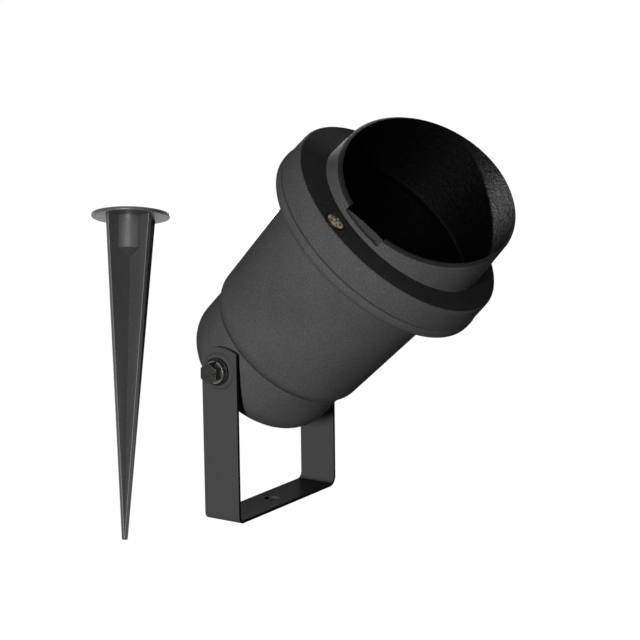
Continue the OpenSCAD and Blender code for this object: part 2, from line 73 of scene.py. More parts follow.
def add(tree, kind, links=(), values=(), **settings):
    node = tree.nodes.new(kind)
    for key, value in settings.items():
        setattr(node, key, value)
    for socket, value in dict(values).items():
        node.inputs[socket].default_value = value
    for socket, source in dict(links).items():
        tree.links.new(source, node.inputs[socket])
    return node


def new_material(name):
    material = bpy.data.materials.new(name)
    material.use_nodes = True
    material.node_tree.nodes.clear()
    return material, material.node_tree


def seen_directly(tree):
    path = add(tree, "ShaderNodeLightPath")
    either = add(tree, "ShaderNodeMath", {0: path.outputs["Is Camera Ray"],
                                          1: path.outputs["Is Glossy Ray"]}, operation="MAXIMUM")
    return add(tree, "ShaderNodeMath", {0: either.outputs[0],
                                        1: path.outputs["Is Transmission Ray"]}, operation="MAXIMUM")


def lay_out(bm, name, material):
    data = bpy.data.meshes.new(name)
    bm.to_mesh(data)
    bm.free()
    data.materials.append(material)
    put_in_scene(name, data)


pure_white = (1, 1, 1, 1)
floor_reach = 12.0
floor_white_share = 0.94
floor_white = 1.065
room_light = 0.004
table_paint, tree = new_material("painted_studio_table")
seen = seen_directly(tree)
white = add(tree, "ShaderNodeEmission", values={0: pure_white, 1: floor_white})
pale = add(tree, "ShaderNodeBsdfDiffuse", values={0: linear("#f4f4f4")})
seen_floor = add(tree, "ShaderNodeMixShader", {1: pale.outputs[0], 2: white.outputs[0]},
                 {0: floor_white_share})
table = add(tree, "ShaderNodeBsdfDiffuse", values={0: linear("#2c2c2c")})
floor_mix = add(tree, "ShaderNodeMixShader",
                {0: seen.outputs[0], 1: table.outputs[0], 2: seen_floor.outputs[0]})
add(tree, "ShaderNodeOutputMaterial", {0: floor_mix.outputs[0]})
floor = bmesh.new()
bmesh.ops.create_grid(floor, x_segments=1, y_segments=1, size=floor_reach)
lay_out(floor, "floor", table_paint)

# Painted shade: a small dark disc that glows faintly lies on the floor under the yoke's hole, so that
# the ground seen through it looks in deep shade.
shade_r = 0.0049
shade_above_floor = 0.0002
shade_paint, tree = new_material("painted_shade_on_floor")
shade_tone = add(tree, "ShaderNodeEmission", values={0: linear("#2a2a2a"), 1: 1.0})
add(tree, "ShaderNodeOutputMaterial", {0: shade_tone.outputs[0]})
shade = bmesh.new()
bmesh.ops.create_circle(shade, cap_ends=True, segments=48, radius=shade_r)
bmesh.ops.translate(shade, vec=(0, 0, shade_above_floor), verts=shade.verts)
lay_out(shade, "floor_in_shade", shade_paint)

world = bpy.data.worlds.new("studio")
bpy.context.scene.world = world
world.use_nodes = True
tree = world.node_tree
tree.nodes.clear()
seen = seen_directly(tree)
room = add(tree, "ShaderNodeBackground", values={0: pure_white, 1: room_light})
backdrop = add(tree, "ShaderNodeBackground", values={0: pure_white, 1: 1.0})
world_mix = add(tree, "ShaderNodeMixShader",
                {0: seen.outputs[0], 1: room.outputs[0], 2: backdrop.outputs[0]})
add(tree, "ShaderNodeOutputWorld", {0: world_mix.outputs[0]})


# Lights
# One small soft box stands low at the left and lights what the camera sees almost alone, and a weaker
# one opposite it lights the far side. A narrow lamp above and behind reaches over the hood's rim and
# makes the streak on its far wall.
def soft_box(name, azimuth, height_angle, reach, size, watts):
    aim = Vector((0.0, -0.05, 0.15))
    turn, rise = math.radians(azimuth), math.radians(height_angle)
    out = Vector((math.cos(turn) * math.cos(rise), math.sin(turn) * math.cos(rise), math.sin(rise)))
    data = bpy.data.lights.new(name, "AREA")
    data.shape = "SQUARE"
    data.size = size
    data.energy = watts
    box = put_in_scene(name, data)
    box.location = aim + out * reach
    box.rotation_euler = out.to_track_quat("Z", "Y").to_euler()


soft_box("key_box", azimuth=-163, height_angle=6, reach=1.6, size=0.2, watts=24)
soft_box("far_side_box", azimuth=34, height_angle=-4, reach=1.6, size=0.2, watts=14)
streak_aim = Vector((0.0467, -0.1337, 0.1894))
streak_from = Vector((-0.5, 0.5926, 0.6316))
streak_reach = 1.4
streak_data = bpy.data.lights.new("streak_lamp", "SPOT")
streak_data.energy = 640
streak_data.spot_size = math.radians(2.8)
streak_data.spot_blend = 0.6
streak_data.shadow_soft_size = 0.02
streak_lamp = put_in_scene("streak_lamp", streak_data)
streak_lamp.location = streak_aim + streak_from * streak_reach
streak_lamp.rotation_euler = streak_from.to_track_quat("Z", "Y").to_euler()

# Main housing
# The front can: one aluminium casting with a rounded rear shoulder, a slight flare, and a rolled
# flange that carries the lens. Blasted and powder coated in charcoal black.
mm = 0.001
pivot_h = 93.0
photo_tilt = math.radians(90 - 44.5)
bezel_twist = math.radians(-4)
head_turn = Matrix.Translation((0, 0, pivot_h * mm)) @ Matrix.Rotation(photo_tilt, 4, "X")
bezel_turn = head_turn @ Matrix.Rotation(bezel_twist, 4, "Z")


# Spins a profile of radii and heights, in mm, round the Z axis.
def turned(profile, steps=144):
    bm = bmesh.new()
    ring = [bm.verts.new((r * mm, 0, s * mm)) for r, s in profile]
    edges = [bm.edges.new((ring[i - 1], ring[i])) for i in range(len(ring))]
    bmesh.ops.spin(bm, geom=ring + edges, cent=(0, 0, 0), axis=(0, 0, 1), angle=math.tau,
                   steps=steps, use_merge=True)
    bmesh.ops.remove_doubles(bm, verts=bm.verts, dist=0.005 * mm)
    bmesh.ops.dissolve_degenerate(bm, edges=bm.edges, dist=0.002 * mm)
    bmesh.ops.recalc_face_normals(bm, faces=bm.faces)
    return bm


# Rounds the rings of edges that lie at the given radii and heights.
def soften(bm, rings, width, segments=5):
    near = 0.02 * mm
    chosen = [e for e in bm.edges if any(
        all(abs(v.co.xy.length - r * mm) < near and abs(v.co.z - s * mm) < near for v in e.verts)
        for r, s in rings)]
    bmesh.ops.bevel(bm, geom=chosen, offset=width * mm, segments=segments, profile=0.5,
                    affect="EDGES", material=-1)


def place(bm, turn):
    bmesh.ops.transform(bm, matrix=turn, verts=bm.verts)


# The first material is the piece's own. The others cover the faces and roundings that name them.
def make_piece(bm, name, body, materials, replaced, sharp=32):
    bmesh.ops.recalc_face_normals(bm, faces=bm.faces)
    for face in bm.faces:
        face.smooth = True
    for edge in bm.edges:
        edge.smooth = len(edge.link_faces) == 2 and edge.calc_face_angle(0) < math.radians(sharp)
    data = bpy.data.meshes.new(name)
    bm.to_mesh(data)
    bm.free()
    for material in materials:
        data.materials.append(material)
    piece = put_in_scene(name, data)
    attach(piece, body)
    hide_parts(replaced)
    return piece


# Fine-texture polyester powder on blasted metal: matt and faintly cloudy. Its sandy grain is finer in
# life, and is drawn 0.7 mm wide so that it shows as faint speckle.
grain_mm = 0.7
cloud_mm = 30


def powder_coat(name, hex_dark, hex_light, roughness, specular, bump_depth):
    material, tree = new_material(name)
    at = add(tree, "ShaderNodeTexCoord")
    grain = add(tree, "ShaderNodeTexNoise", {"Vector": at.outputs["Object"]},
                {"Scale": 1000 / grain_mm, "Detail": 2.0, "Roughness": 0.6})
    cloud = add(tree, "ShaderNodeTexNoise", {"Vector": at.outputs["Object"]},
                {"Scale": 1000 / cloud_mm, "Detail": 3.0})
    blend = add(tree, "ShaderNodeMath", {0: cloud.outputs[0], 2: grain.outputs[0]}, {1: 0.25},
                operation="MULTIPLY_ADD")
    spread = add(tree, "ShaderNodeMapRange", {0: blend.outputs[0]}, {1: 0.4, 2: 0.85})
    tint = add(tree, "ShaderNodeMix", {0: spread.outputs[0]},
               {6: linear(hex_dark), 7: linear(hex_light)}, data_type="RGBA")
    rough = add(tree, "ShaderNodeMapRange", {0: grain.outputs[0]},
                {1: 0.3, 2: 0.7, 3: roughness - 0.08, 4: roughness + 0.08})
    bump = add(tree, "ShaderNodeBump", {"Height": grain.outputs[0]},
               {"Strength": bump_depth, "Distance": 0.00012})
    shader = add(tree, "ShaderNodeBsdfPrincipled",
                 {"Base Color": tint.outputs[2], "Roughness": rough.outputs[0],
                  "Normal": bump.outputs[0]}, {"Specular IOR Level": specular})
    add(tree, "ShaderNodeOutputMaterial", {0: shader.outputs[0]})
    return material


coat = powder_coat("charcoal_fine_texture_powder", "#424242", "#5d5d5d", 0.85, 0.02, 1.0)

# Inside, the castings have a sprayed black lacquer over the sand-cast skin, made near-black as painted
# shade so that it swallows the light, but it shines in wet-looking flecks where a lamp meets it at a low
# angle.
fleck_mm = 2.6
lacquer_with_painted_shade, tree = new_material("black_lacquer_with_painted_shade")
at = add(tree, "ShaderNodeTexCoord")
fleck = add(tree, "ShaderNodeTexNoise", {"Vector": at.outputs["Object"]},
            {"Scale": 1000 / fleck_mm, "Detail": 5.0, "Roughness": 0.7})
shine = add(tree, "ShaderNodeMapRange", {0: fleck.outputs[0]}, {1: 0.35, 2: 0.65, 3: 0.3, 4: 0.55})
tint = add(tree, "ShaderNodeMix", {0: fleck.outputs[0]},
           {6: linear("#010101"), 7: linear("#040404")}, data_type="RGBA")
bump = add(tree, "ShaderNodeBump", {"Height": fleck.outputs[0]}, {"Strength": 1.0, "Distance": 0.0006})
shader = add(tree, "ShaderNodeBsdfPrincipled",
             {"Base Color": tint.outputs[2], "Roughness": shine.outputs[0], "Normal": bump.outputs[0]},
             {"Specular IOR Level": 0.06})
add(tree, "ShaderNodeOutputMaterial", {0: shader.outputs[0]})


# Gives a casting's inner faces, which look towards its axis, the second material.
def mark_inside(bm, within):
    for face in bm.faces:
        middle = face.calc_center_median()
        inward = face.normal.xy.dot(middle.xy) < -0.2 * middle.xy.length
        face.material_index = int(inward and middle.xy.length < within * mm)


seam, spigot_r, seat_r, floor_t = 17.5, 34.95, 48.1, 4
shoulder_mid_r, shoulder_turn_r, shoulder_h = 41.51, 10.69, 8
front_r, flare_end = 55.7, 99.4
flange_r, flange_back, flange = 72.8, 107, 114.2
nose_r, mouth_r, nose_end = 60.7, 54.7, 117.6
inner_front_r, inner_front, inner_rear_r, inner_floor_r = 52.7, 99, 49.2, 45.6
shoulder_angles = [math.radians(t) for t in range(-44, 1, 4)]
shoulder = [(shoulder_mid_r + shoulder_turn_r * math.cos(t),
             seam + shoulder_h + shoulder_turn_r * math.sin(t)) for t in shoulder_angles]
can = turned([(spigot_r, seam), (seat_r, seam)] + shoulder + [
    (front_r, flare_end), (front_r, flange_back), (flange_r, flange_back), (flange_r, flange),
    (nose_r, flange), (nose_r, nose_end), (mouth_r, nose_end), (mouth_r, flange_back),
    (inner_front_r, inner_front), (inner_rear_r, seam + shoulder_h),
    (inner_floor_r, seam + floor_t), (spigot_r, seam + floor_t)])
soften(can, [(flange_r, flange_back)], 3.8, 8)
soften(can, [(flange_r, flange)], 0.9, 4)
soften(can, [(front_r, flange_back)], 7.0, 8)
soften(can, [(nose_r, nose_end), (mouth_r, nose_end)], 0.4, 2)
mark_inside(can, 60)
place(can, head_turn)
make_piece(can, "cast_can", "head", [coat, lacquer_with_painted_shade], "main_housing")


# Rear cover and gaskets
# The smaller casting behind the can carries the pivots. A rubber gasket between the two shows as a
# dark line, dusty from the weather. Other gaskets seal the bezel and the lens, and the friction
# washers at the pivots are rubber too.
def dress(material, *names):
    for name in names:
        for slot in nodes[name].material_slots:
            slot.material = material


# Moulded nitrile rubber: matt black, with a fine bloom.
def rubber(name, hex_dark, hex_light):
    bloom_mm = 1.5
    material, tree = new_material(name)
    at = add(tree, "ShaderNodeTexCoord")
    bloom = add(tree, "ShaderNodeTexNoise", {"Vector": at.outputs["Object"]},
                {"Scale": 1000 / bloom_mm, "Detail": 4.0})
    tint = add(tree, "ShaderNodeMix", {0: bloom.outputs[0]},
               {6: linear(hex_dark), 7: linear(hex_light)}, data_type="RGBA")
    bump = add(tree, "ShaderNodeBump", {"Height": bloom.outputs[0]},
               {"Strength": 0.2, "Distance": 0.0001})
    shader = add(tree, "ShaderNodeBsdfPrincipled",
                 {"Base Color": tint.outputs[2], "Normal": bump.outputs[0]},
                 {"Roughness": 0.85, "Specular IOR Level": 0.1})
    add(tree, "ShaderNodeOutputMaterial", {0: shader.outputs[0]})
    return material


black_rubber = rubber("moulded_nitrile_rubber", "#101010", "#1a1a1a")
dress(coat, "rear_cover")
dress(rubber("dusty_nitrile_rubber", "#303030", "#3c3c3c"), "rear_gasket")
dress(black_rubber, "friction_washers", "bezel_gasket")
# Painted shade: the lens gaskets are near black, so that they show as in the hood's shade.
dress(rubber("nitrile_rubber_darkened_as_painted_shade", "#050505", "#080808"), "lens_seat_gasket", "lens_gasket")


# Yoke
# One strip of steel, 25.4 by 1.9 mm, bent up into two legs with arched tops. A round pad is pressed
# outwards round each pivot hole. Powder coated like the castings, with a smoother skin.


# Cuts one shape with another, joins the two, or keeps what they share.
def carve(bm, tool, kind="DIFFERENCE"):
    pair = []
    for shape in (bm, tool):
        data = bpy.data.meshes.new("carving")
        bmesh.ops.recalc_face_normals(shape, faces=shape.faces)
        shape.to_mesh(data)
        shape.free()
        pair.append(put_in_scene("carving", data))
    cut = pair[0].modifiers.new("cut", "BOOLEAN")
    cut.operation = kind
    cut.solver = "EXACT"
    cut.object = pair[1]
    result = pair[0].evaluated_get(bpy.context.evaluated_depsgraph_get()).to_mesh()
    out = bmesh.new()
    out.from_mesh(result)
    for piece in pair:
        data = piece.data
        bpy.data.objects.remove(piece)
        bpy.data.meshes.remove(data)
    bmesh.ops.remove_doubles(out, verts=out.verts, dist=0.004 * mm)
    return out


def rod(radius, length):
    return turned([(0, 0), (radius, 0), (radius, length), (0, length)], 64)


# Turns a shape that stands on Z to lie outwards along X, x mm from the middle.
def outwards(side, x):
    return Matrix.Translation((side * x * mm, 0, 0)) @ Matrix.Rotation(side * math.pi / 2, 4, "Y")


# Rounds a finished piece's sharp or marked edges a little, in the material of the given slot.
def round_edges(piece, width, segments=2, angle=38, slot=-1, limit="ANGLE"):
    edge = piece.modifiers.new("rounding", "BEVEL")
    edge.material = slot
    edge.width = width * mm
    edge.segments = segments
    edge.limit_method = limit
    edge.angle_limit = math.radians(angle)
    edge.harden_normals = True


strip_w, strip_t, leg_x = 25.4, 1.9, 53.0
arch_start, arch_mid_z, arch_r = 107.2, 81.8, 25.4
near_fold_r, far_fold_r = 4.4, 6.2
pad_foot_r, pad_face_r, pad_h, pad_sink = 11.4, 10.2, 1.8, 0.6
hollow_r, hollow_deep, pivot_hole_r, base_hole_r = 8.3, 5.9, 3.23, 5.0
drill_start, drill_len = -6.0, 12.0
base_drill_start, base_drill_len = -3, 8.0
strip = bmesh.new()
line = [(-leg_x, arch_start), (-leg_x, 0), (leg_x, 0), (leg_x, arch_start)]
corners = [strip.verts.new((x * mm, -strip_w / 2 * mm, z * mm)) for x, z in line]
spine = [strip.edges.new((corners[i], corners[i + 1])) for i in range(3)]
wide = bmesh.ops.extrude_edge_only(strip, edges=spine)
moved = [v for v in wide["geom"] if isinstance(v, bmesh.types.BMVert)]
bmesh.ops.translate(strip, verts=moved, vec=(0, strip_w * mm, 0))
for side, fold_r in ((-1, near_fold_r), (1, far_fold_r)):
    fold = [e for e in strip.edges if all(v.co.z < mm and abs(v.co.x - side * leg_x * mm) < 0.01 * mm
                                          for v in e.verts)]
    bmesh.ops.bevel(strip, geom=fold, offset=fold_r * mm, segments=12, profile=0.5,
                    affect="EDGES", material=-1)
tops = [e for e in strip.edges if all(v.co.z > (arch_start - 0.2) * mm for v in e.verts)]
bmesh.ops.subdivide_edges(strip, edges=tops, cuts=23)
for v in strip.verts:
    if v.co.z > (arch_start - 0.2) * mm:
        v.co.z = (arch_mid_z + math.sqrt(arch_r ** 2 - (v.co.y / mm) ** 2)) * mm
bmesh.ops.recalc_face_normals(strip, faces=strip.faces)
if strip.faces[0].calc_center_median().dot(strip.faces[0].normal) < 0:
    bmesh.ops.reverse_faces(strip, faces=strip.faces)
bmesh.ops.solidify(strip, geom=strip.faces[:], thickness=strip_t * mm)
to_pivot = Matrix.Translation((0, 0, pivot_h * mm))
for side in (-1, 1):
    pad = turned([(0, -pad_sink), (pad_foot_r, -pad_sink), (pad_foot_r, 0.02), (pad_face_r, pad_h),
                  (0, pad_h)], 72)
    soften(pad, [(pad_face_r, pad_h)], 0.9, 5)
    place(pad, to_pivot @ outwards(side, leg_x))
    strip = carve(strip, pad, "UNION")
    for radius, length in ((hollow_r, hollow_deep), (pivot_hole_r, drill_len)):
        hole = rod(radius, length)
        place(hole, to_pivot @ outwards(side, leg_x + drill_start))
        strip = carve(strip, hole)
hole = rod(base_hole_r, base_drill_len)
place(hole, Matrix.Translation((0, 0, base_drill_start * mm)))
strip = carve(strip, hole)
# Painted shade: the strip's sides and the top of its base take a blacker coat than the rest.
for face in strip.faces:
    height = face.calc_center_median().z
    face.material_index = int(abs(face.normal.y) > 0.9 and height < 100 * mm)
    if face.normal.z > 0.9 and height < 3 * mm:
        face.material_index = 2
yoke_coat = powder_coat("charcoal_smooth_powder_on_steel", "#424242", "#4c4c4c", 0.75, 0.08, 0.4)
sides_painted_shade = powder_coat("painted_shade_on_strip_sides", "#0a0a0a", "#121212", 0.8, 0.02, 0.2)
base_top_painted_shade = powder_coat("painted_shade_on_base_top", "#1f1f1f", "#252525", 0.8, 0.02, 0.2)
yoke = make_piece(strip, "bent_yoke", "yoke", [yoke_coat, sides_painted_shade, base_top_painted_shade],
                  "yoke")
round_edges(yoke, 0.3)


# Pivot bolts and washers
# Two hexagon bolts, each with a split lock washer and a flat washer, clamp the yoke's pads on the
# cover's bosses. Cold-formed zinc-plated steel in tones of painted light and shade: a painted dark
# reflection on the bolts' faces and a painted highlight on their edges, lock washers in a grey darkened
# as painted shade, and flat washers painted black as shade.
def plated(name, hex_dark, hex_light, roughness, streak_mm=2.5):
    material, tree = new_material(name)
    at = add(tree, "ShaderNodeTexCoord")
    streak = add(tree, "ShaderNodeTexNoise", {"Vector": at.outputs["Object"]},
                 {"Scale": 1000 / streak_mm, "Detail": 5.0, "Roughness": 0.65})
    spread = add(tree, "ShaderNodeMapRange", {0: streak.outputs[0]}, {1: 0.3, 2: 0.7})
    tint = add(tree, "ShaderNodeMix", {0: spread.outputs[0]},
               {6: linear(hex_dark), 7: linear(hex_light)}, data_type="RGBA")
    rough = add(tree, "ShaderNodeMapRange", {0: streak.outputs[0]},
                {1: 0.3, 2: 0.7, 3: roughness - 0.08, 4: roughness + 0.1})
    bump = add(tree, "ShaderNodeBump", {"Height": streak.outputs[0]},
               {"Strength": 0.25, "Distance": 0.00006})
    shader = add(tree, "ShaderNodeBsdfPrincipled",
                 {"Base Color": tint.outputs[2], "Roughness": rough.outputs[0],
                  "Normal": bump.outputs[0]}, {"Metallic": 1.0})
    add(tree, "ShaderNodeOutputMaterial", {0: shader.outputs[0]})
    return material


# Painted light and shade: the same zinc in four tones, darker or brighter after how light falls on each
# part.
zinc_with_painted_dark_reflection = plated("zinc_darkened_as_painted_reflection", "#2c2c2b", "#484846", 0.34)
zinc_with_painted_highlight = plated("zinc_brightened_as_painted_highlight", "#8a8a87", "#d8d8d4", 0.36, 1.2)
zinc_with_painted_shade = plated("zinc_darkened_as_painted_shade", "#4c4c4a", "#9a9a97", 0.4, 1.6)
zinc_blackened_as_painted_shade = plated("washer_zinc_blackened_as_painted_shade", "#161616", "#3a3a39", 0.3)
washer_x, lock_x, hex_x = 54.95, 56.45, 58.65
hex_corner_r, hex_h, hex_twist = 6.408, 5.2, math.radians(14)
crown_r, crown_top_r, crown_fall = 6.5, 6.15, 0.25
shank_r, shank_tip_r, shank_len, shank_tip = 3.15, 2.9, 21, 0.4
washer_bore_r, washer_r, washer_t = 3.45, 8.5, 1.5
lock_r, lock_t, lock_rise, lock_steps = 6.9, 1.9, 0.3, 60
lock_span, lock_twist = math.radians(348), math.radians(40)
for side, word in ((-1, "left"), (1, "right")):
    head = bmesh.new()
    bmesh.ops.create_cone(head, cap_ends=True, segments=6, radius1=hex_corner_r * mm,
                          radius2=hex_corner_r * mm, depth=hex_h * mm,
                          matrix=Matrix.Translation((0, 0, hex_h / 2 * mm)))
    place(head, Matrix.Rotation(hex_twist, 4, "Z"))
    crown = turned([(0, -1), (crown_r, -1), (crown_r, hex_h - crown_fall), (crown_top_r, hex_h),
                    (0, hex_h)])
    head = carve(head, crown, "INTERSECT")
    shank = turned([(0, -shank_len), (shank_tip_r, -shank_len), (shank_r, shank_tip - shank_len),
                    (shank_r, 0.5), (0, 0.5)], 48)
    head = carve(head, shank, "UNION")
    place(head, head_turn @ outwards(side, hex_x))
    bolt = make_piece(head, "pivot_bolt_" + word, "head", [zinc_with_painted_dark_reflection, zinc_with_painted_highlight],
                      "pivot_bolts", 25)
    round_edges(bolt, 0.22, 2, 28, 1)
    lock = bmesh.new()
    section = [lock.verts.new((r * mm, 0, s * mm)) for r, s in
               ((washer_bore_r, 0), (lock_r, 0), (lock_r, lock_t), (washer_bore_r, lock_t))]
    start = lock.faces.new(section)
    bmesh.ops.spin(lock, geom=[start], cent=(0, 0, 0), axis=(0, 0, 1), angle=lock_span,
                   dvec=(0, 0, lock_rise * mm / lock_steps), steps=lock_steps)
    bmesh.ops.recalc_face_normals(lock, faces=lock.faces)
    place(lock, head_turn @ outwards(side, lock_x) @ Matrix.Rotation(lock_twist, 4, "Z"))
    ring = make_piece(lock, "lock_washer_" + word, "head", [zinc_with_painted_shade],
                      "lock_washers", 25)
    round_edges(ring, 0.2)
    flat = turned([(washer_bore_r, 0), (washer_r, 0), (washer_r, washer_t),
                   (washer_bore_r, washer_t)], 96)
    soften(flat, [(washer_r, washer_t), (washer_bore_r, washer_t)], 0.3, 3)
    place(flat, head_turn @ outwards(side, washer_x))
    make_piece(flat, "flat_washer_" + word, "head", [zinc_blackened_as_painted_shade], "flat_washers")

# Bezel ring
# The cast ring in front of the flange. Its crowned face, darkened as painted shade, holds the hood's
# foot down on the lens, and two screws go through round seats in it, whose walls are painted black as
# shade.
ring_r, ring_back_r, ring_lip_r, ring_lip = 71.5, 72.2, 70.4, 0.55
ring_back, ring_edge, ring_root, ring_plate = 115.2, 130.7, 133.2, 126.4
ring_bore_r, hood_hole_r = 61.1, 56.4
screw_ring_r, screw_hole_r, seat_hole_r, seat_deep = 64.567, 2.6, 6.3, 3.6
screw_hole_deep, seat_cut_top = 16, 4
hood_shift = Vector((0.5 * mm, -2.2 * mm, 0))
bezel = turned([(ring_bore_r, ring_back), (ring_lip_r, ring_back), (ring_lip_r, ring_back - ring_lip),
                (ring_back_r, ring_back - ring_lip), (ring_r, ring_edge), (hood_hole_r, ring_root),
                (hood_hole_r, ring_plate), (ring_bore_r, ring_plate)], 192)
bmesh.ops.translate(bezel, verts=[v for v in bezel.verts if v.co.xy.length < 58 * mm],
                    vec=hood_shift)
soften(bezel, [(ring_r, ring_edge)], 1.3, 6)
soften(bezel, [(ring_back_r, ring_back - ring_lip)], 0.3, 3)
for side in (-1, 1):
    seat = turned([(0, -screw_hole_deep), (screw_hole_r, -screw_hole_deep),
                   (screw_hole_r, -seat_deep), (seat_hole_r, -seat_deep),
                   (seat_hole_r, seat_cut_top), (0, seat_cut_top)], 64)
    place(seat, Matrix.Translation((side * screw_ring_r * mm, 0, ring_edge * mm)))
    bezel = carve(bezel, seat)
# Painted shade: the crowned face and the walls of the screw seats take the black second material.
for face in bezel.faces:
    middle = face.calc_center_median()
    from_screw = Vector((abs(middle.x) - screw_ring_r * mm, middle.y)).length
    inner = middle.z < 128 * mm and middle.xy.length < 70.5 * mm
    face.material_index = int(face.normal.z > 0.9 or from_screw < (seat_hole_r + 0.04) * mm or inner)
place(bezel, bezel_turn)
black_painted_shade = powder_coat("black_painted_shade_on_faces", "#1e1e1e", "#353535", 0.85, 0.02, 1.0)
bezel_piece = make_piece(bezel, "bezel_casting", "head", [coat, black_painted_shade],
                         "bezel_ring")
round_edges(bezel_piece, 0.25, 2, 50)

# Bezel screws
# Two pan-head machine screws with cross recesses. Nickel-plated steel that has gone brown in patches,
# with the side of each head painted dark brown as shade.
mottle_mm = 1.6
nickel, tree = new_material("nickel_plate_browned_in_patches")
at = add(tree, "ShaderNodeTexCoord")
mottle = add(tree, "ShaderNodeTexNoise", {"Vector": at.outputs["Object"]},
             {"Scale": 1000 / mottle_mm, "Detail": 5.0, "Roughness": 0.7})
rusty = add(tree, "ShaderNodeMapRange", {0: mottle.outputs[0]}, {1: 0.46, 2: 0.6})
tint = add(tree, "ShaderNodeMix", {0: rusty.outputs[0]},
           {6: linear("#7d776f"), 7: linear("#2e2119")}, data_type="RGBA")
dull = add(tree, "ShaderNodeMapRange", {0: rusty.outputs[0]}, {3: 0.24, 4: 0.6})
bump = add(tree, "ShaderNodeBump", {"Height": mottle.outputs[0]}, {"Strength": 0.3, "Distance": 0.00008})
shader = add(tree, "ShaderNodeBsdfPrincipled",
             {"Base Color": tint.outputs[2], "Roughness": dull.outputs[0], "Normal": bump.outputs[0]},
             {"Metallic": 1.0})
add(tree, "ShaderNodeOutputMaterial", {0: shader.outputs[0]})
head_side_painted_shade = plated("painted_shade_on_screw_head_side", "#120d0a", "#2b2018", 0.5, 1.2)
screw_r, screw_tip_r, screw_len, screw_tip = 2.3, 2.0, 9.3, 0.3
pan_r, pan_side, pan_top = 5.9, 5.2, 6.9
recess_len, recess_w, recess_h, recess_mid = 6.0, 1.15, 3.0, 6.4
recess_twist, recess_taper = 28, (0.45, 0.8, 1)
for side, word in ((-1, "left"), (1, "right")):
    screw = turned([(0, -screw_len), (screw_tip_r, -screw_len), (screw_r, screw_tip - screw_len),
                    (screw_r, 0), (pan_r, 0), (pan_r, pan_side), (0, pan_top)], 72)
    soften(screw, [(pan_r, pan_side)], 1.2, 6)
    for arm in (0, 1):
        cut = bmesh.new()
        bmesh.ops.create_cube(cut, size=1.0)
        bmesh.ops.scale(cut, vec=(recess_len * mm, recess_w * mm, recess_h * mm), verts=cut.verts)
        bmesh.ops.scale(cut, vec=recess_taper, verts=[v for v in cut.verts if v.co.z < 0])
        place(cut, Matrix.Rotation(math.radians(recess_twist + 90 * arm), 4, "Z")
              @ Matrix.Translation((0, 0, recess_mid * mm)))
        screw = carve(screw, cut)
    screw.normal_update()
    # Painted shade: the side of the head takes the dark second material.
    for face in screw.faces:
        middle = face.calc_center_median()
        face.material_index = int(abs(face.normal.z) < 0.75 and middle.xy.length > 4.4 * mm)
    place(screw, bezel_turn @ Matrix.Translation((side * screw_ring_r * mm, 0,
                                                  (ring_edge - seat_deep) * mm)))
    make_piece(screw, "bezel_screw_" + word, "head", [nickel, head_side_painted_shade],
               "bezel_screws", 35)


# Glare hood
# A thin cast tube with 4.6 degrees of draft, held by a foot behind the bezel. Its rim is cut at a slant
# of 18 degrees, with a painted highlight on its outer edge and painted shade on its cut end, and on the
# low side a notch is broken into it, with an uneven floor.


# The edges that carry a painted highlight are marked by weight, so that only they are rounded.
def outer_edges(bm, chosen, longer=0.0):
    weight = bm.edges.layers.float.new("bevel_weight_edge")
    for edge in bm.edges:
        if (len(edge.link_faces) == 2 and edge.calc_face_angle(0) > 0.5
                and edge.calc_length() > longer * mm and all(map(chosen, edge.verts))):
            edge[weight] = 1.0


hood_r, hood_wall, rim_wall, hood_top, rim_mid = 56.2, 2.8, 1.0, 180.0, 157.9
foot_r, foot_back, foot_front = 58.4, 124, 126.35
slant, hood_draft, rim_chamfer = math.radians(18), math.tan(math.radians(4.6)), 1.0
notch_floor, notch_span, notch_mid_r, notch_deep, notch_tall = 135.9, 27.5, 54, 12, 14
notch_turn = math.radians(187.5)
rim_at = Vector((0, 0, rim_mid * mm))
rim_normal = Vector((-math.sin(slant), 0, math.cos(slant)))


# How far a corner lies outside the hood's outer wall.
def off_wall(v):
    return v.co.xy.length - hood_r * mm + (v.co.z - ring_root * mm) * hood_draft


# How far a corner lies past the slanted rim.
def past_rim(v):
    return (v.co - rim_at).dot(rim_normal)


top_r = hood_r - (hood_top - ring_root) * hood_draft
hood = turned([(hood_r - hood_wall, foot_back), (foot_r, foot_back), (foot_r, foot_front),
               (hood_r, foot_front), (hood_r, ring_root), (top_r, hood_top),
               (top_r - rim_wall, hood_top), (hood_r - hood_wall, ring_root)], 240)
bmesh.ops.bisect_plane(hood, geom=hood.verts[:] + hood.edges[:] + hood.faces[:], dist=1e-7,
                       plane_co=rim_at, plane_no=rim_normal, clear_outer=True)
open_rim = [e for e in hood.edges if len(e.link_faces) == 1]
bmesh.ops.bridge_loops(hood, edges=open_rim)
rim_out = [e for e in hood.edges if all(abs(past_rim(v)) < 1e-6 and off_wall(v) > -0.2 * mm
                                        for v in e.verts)]
bmesh.ops.bevel(hood, geom=rim_out, offset=rim_chamfer * mm, segments=1, profile=0.5,
                affect="EDGES", material=-1)
bite = bmesh.new()
bmesh.ops.create_cube(bite, size=1.0)
bmesh.ops.subdivide_edges(bite, edges=bite.edges[:], cuts=15, use_grid_fill=True)
bmesh.ops.scale(bite, vec=(notch_deep * mm, notch_span * mm, notch_tall * mm), verts=bite.verts)
bmesh.ops.translate(bite, vec=(0, 0, (notch_floor + notch_tall / 2) * mm), verts=bite.verts)
for v in bite.verts:
    along = v.co.y / mm
    if v.co.z < (notch_floor + 0.5) * mm:
        v.co.z += (0.15 * math.sin(along * 0.9) + 0.12 * math.sin(along * 2.3 + 1)) * mm
place(bite, Matrix.Rotation(notch_turn, 4, "Z") @ Matrix.Translation((notch_mid_r * mm, 0, 0)))
hood = carve(hood, bite)
hood.normal_update()
mark_inside(hood, 60)
